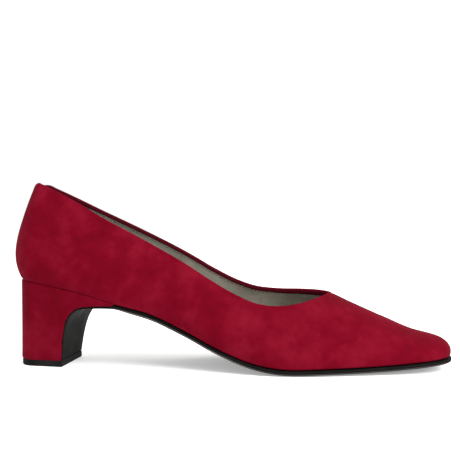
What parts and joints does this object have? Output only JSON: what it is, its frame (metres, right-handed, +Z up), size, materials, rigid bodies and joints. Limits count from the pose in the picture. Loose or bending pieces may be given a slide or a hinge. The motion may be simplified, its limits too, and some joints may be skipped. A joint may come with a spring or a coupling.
{
  "type": "high heel pump",
  "caption": "Low-cut right-foot court shoe in suede with a blunt toe, a covered block heel, a leather lining and a thin black outsole that runs down the heel breast.",
  "frame": {"origin": "bottom centre of the bounding box, on the floor that the top piece and the ball of the sole stand on", "axes": "+Z up, +X toward the toe, +Y toward the medial (inner) side of the right foot"},
  "size_m": [0.259, 0.0754, 0.109],
  "materials": {
    "suede": "napped suede, matte",
    "fold": "napped suede, matte",
    "thread": "dull",
    "board": "raw fibre board, matte",
    "stiffener": "impregnated cloth, matte",
    "lining": "smooth, worn, satin",
    "sock": "smooth, worn, satin",
    "foam": "open foam, matte",
    "steel": "rolled, satin",
    "cork": "granulated cork, matte",
    "sole": "moulded, low sheen",
    "plastic": "moulded, matte"
  },
  "bodies": {
    "root": {"upper_suede": "suede", "topline_fold": "fold", "topline_thread": "thread", "heel_counter": "stiffener", "toe_puff": "stiffener", "vamp_backing": "stiffener", "lining_heel_grip": "lining", "lining_quarter_lateral": "lining", "lining_quarter_medial": "lining", "lining_vamp": "lining", "insole_board_back": "board", "insole_board_fore": "board", "bottom_filler": "cork", "steel_shank": "steel", "shank_rivet_1": "steel", "shank_rivet_2": "steel", "heel_pad": "foam", "forefoot_pad": "foam", "sock_lining": "sock", "heel_cover": "suede", "heel_core": "plastic", "top_piece": "sole", "top_piece_pin_1": "steel", "top_piece_pin_2": "steel", "heel_nail_1": "steel", "heel_nail_2": "steel", "heel_nail_3": "steel", "heel_nail_4": "steel", "heel_nail_5": "steel", "heel_nail_6": "steel", "heel_screw": "steel", "outsole": "sole"}
  },
  "joints": []
}
